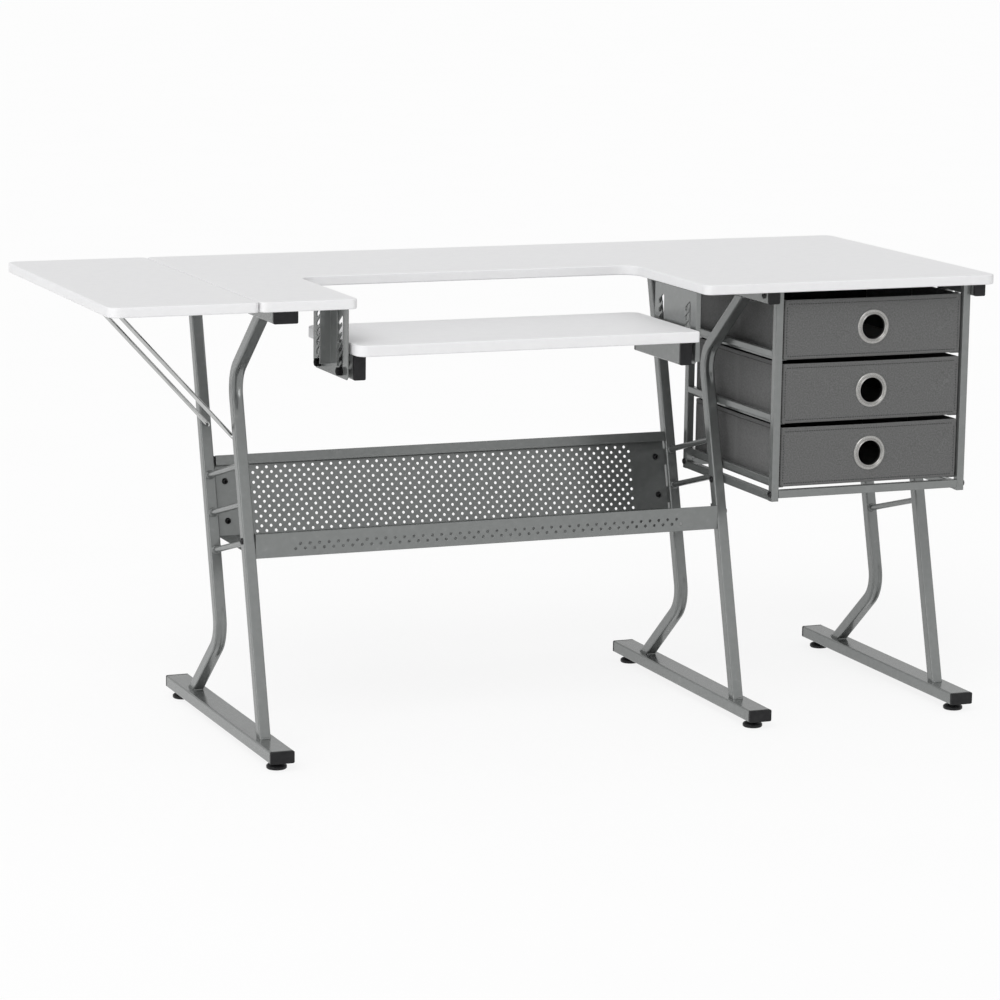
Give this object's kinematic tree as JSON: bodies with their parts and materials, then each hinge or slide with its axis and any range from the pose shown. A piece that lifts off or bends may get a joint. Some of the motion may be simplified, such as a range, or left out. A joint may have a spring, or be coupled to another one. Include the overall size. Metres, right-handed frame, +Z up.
{
  "type": "sewing machine table",
  "caption": "Sewing table with a fold-down leaf, a height-adjustable machine platform in the top, a perforated tray and a stack of fabric drawers on welded steel legs.",
  "frame": {"origin": "on the floor under the middle of the top, leaf up", "axes": "+X to the user's right along the table, +Y to the back, +Z up"},
  "size_m": [1.528, 0.61, 0.75],
  "materials": {
    "board": "off-white melamine on board",
    "grey_steel": "grey powder coat",
    "black_plastic": "moulded black",
    "black_bolt": "black oxide",
    "chrome_rod": "bright plated rod",
    "ring_chrome": "bright plated ring",
    "zinc": "zinc plated",
    "nut_steel": "plain nut",
    "grey_fabric": "woven grey cloth",
    "base_card": "stiff card board"
  },
  "bodies": {
    "frame": {"back_tube_left": "grey_steel", "back_tube_middle": "grey_steel", "back_tube_right": "grey_steel", "board_screws": "zinc", "bracket_doublers": "grey_steel", "bracket_left": "grey_steel", "bracket_right": "grey_steel", "drawer_posts": "grey_steel", "drawer_rails": "grey_steel", "drawer_runners": "grey_steel", "foot_bar_left": "grey_steel", "foot_bar_middle": "grey_steel", "foot_bar_right": "grey_steel", "frame_bolts": "black_bolt", "front_tube_left": "grey_steel", "front_tube_middle": "grey_steel", "front_tube_right": "grey_steel", "glide_nuts": "nut_steel", "hinge_fixed_plates": "zinc", "hinge_pins": "zinc", "leg_rungs": "grey_steel", "main_top": "board", "narrow_caps": "black_plastic", "top_bar_left": "grey_steel", "top_bar_middle": "grey_steel", "top_bar_right": "grey_steel", "tray_back": "grey_steel", "tray_bolts": "black_bolt", "tray_shelf": "grey_steel", "tray_tabs": "grey_steel", "wide_caps": "black_plastic"},
    "leaf": {"leaf_board": "board", "hinge_leaf_plates": "zinc", "leaf_screws": "zinc", "bail_stop": "black_plastic"},
    "bail": {"leaf_bail": "chrome_rod"},
    "platform": {"platform_board": "board", "platform_arm_left": "grey_steel", "platform_arm_right": "grey_steel", "platform_arm_caps": "black_plastic", "platform_screws": "zinc"},
    "clamp_1": {"knob_1": "black_plastic"},
    "clamp_2": {"knob_2": "black_plastic"},
    "clamp_3": {"knob_3": "black_plastic"},
    "clamp_4": {"knob_4": "black_plastic"},
    "drawer_1": {"drawer_bin_1": "grey_fabric", "drawer_grommet_1": "ring_chrome", "drawer_base_1": "base_card"},
    "drawer_2": {"drawer_bin_2": "grey_fabric", "drawer_grommet_2": "ring_chrome", "drawer_base_2": "base_card"},
    "drawer_3": {"drawer_bin_3": "grey_fabric", "drawer_grommet_3": "ring_chrome", "drawer_base_3": "base_card"},
    "foot_1": {"glide_1": "black_plastic"},
    "foot_2": {"glide_2": "black_plastic"},
    "foot_3": {"glide_3": "black_plastic"},
    "foot_4": {"glide_4": "black_plastic"},
    "foot_5": {"glide_5": "black_plastic"},
    "foot_6": {"glide_6": "black_plastic"}
  },
  "joints": [
    {"name": "leaf_fold", "type": "hinge", "parent": "frame", "child": "leaf", "pos_m": [-0.524, 0, 0.7295], "axis": [0, -1, 0], "range_deg": [0, 90]},
    {"name": "bail_swing", "type": "hinge", "parent": "frame", "child": "bail", "pos_m": [-0.48, 0.025, 0.494], "axis": [0, -1, 0], "range_deg": [0, 122.5]},
    {"name": "platform_lift", "type": "slide", "parent": "frame", "child": "platform", "axis": [0, 0, 1], "range_m": [0, 0.075]},
    {"name": "clamp_1_turn", "type": "hinge", "parent": "platform", "child": "clamp_1", "pos_m": [-0.3693, -0.241, 0.628], "axis": [1, 0, 0], "continuous": true},
    {"name": "clamp_2_turn", "type": "hinge", "parent": "platform", "child": "clamp_2", "pos_m": [-0.3693, -0.138, 0.628], "axis": [1, 0, 0], "continuous": true},
    {"name": "clamp_3_turn", "type": "hinge", "parent": "platform", "child": "clamp_3", "pos_m": [0.2328, -0.241, 0.628], "axis": [1, 0, 0], "continuous": true},
    {"name": "clamp_4_turn", "type": "hinge", "parent": "platform", "child": "clamp_4", "pos_m": [0.2328, -0.138, 0.628], "axis": [1, 0, 0], "continuous": true},
    {"name": "drawer_1_slide", "type": "slide", "parent": "frame", "child": "drawer_1", "axis": [0, -1, 0], "range_m": [0, 0.25]},
    {"name": "drawer_2_slide", "type": "slide", "parent": "frame", "child": "drawer_2", "axis": [0, -1, 0], "range_m": [0, 0.25]},
    {"name": "drawer_3_slide", "type": "slide", "parent": "frame", "child": "drawer_3", "axis": [0, -1, 0], "range_m": [0, 0.25]},
    {"name": "foot_1_turn", "type": "hinge", "parent": "frame", "child": "foot_1", "pos_m": [-0.48, -0.257, 0], "axis": [0, 0, 1], "continuous": true},
    {"name": "foot_2_turn", "type": "hinge", "parent": "frame", "child": "foot_2", "pos_m": [-0.48, 0.243, 0], "axis": [0, 0, 1], "continuous": true},
    {"name": "foot_3_turn", "type": "hinge", "parent": "frame", "child": "foot_3", "pos_m": [0.357, -0.257, 0], "axis": [0, 0, 1], "continuous": true},
    {"name": "foot_4_turn", "type": "hinge", "parent": "frame", "child": "foot_4", "pos_m": [0.357, 0.243, 0], "axis": [0, 0, 1], "continuous": true},
    {"name": "foot_5_turn", "type": "hinge", "parent": "frame", "child": "foot_5", "pos_m": [0.737, -0.257, 0], "axis": [0, 0, 1], "continuous": true},
    {"name": "foot_6_turn", "type": "hinge", "parent": "frame", "child": "foot_6", "pos_m": [0.737, 0.243, 0], "axis": [0, 0, 1], "continuous": true}
  ],
  "couplings": [
    {"joint": "bail_swing", "follows": "leaf_fold", "ratio": 1.36}
  ]
}
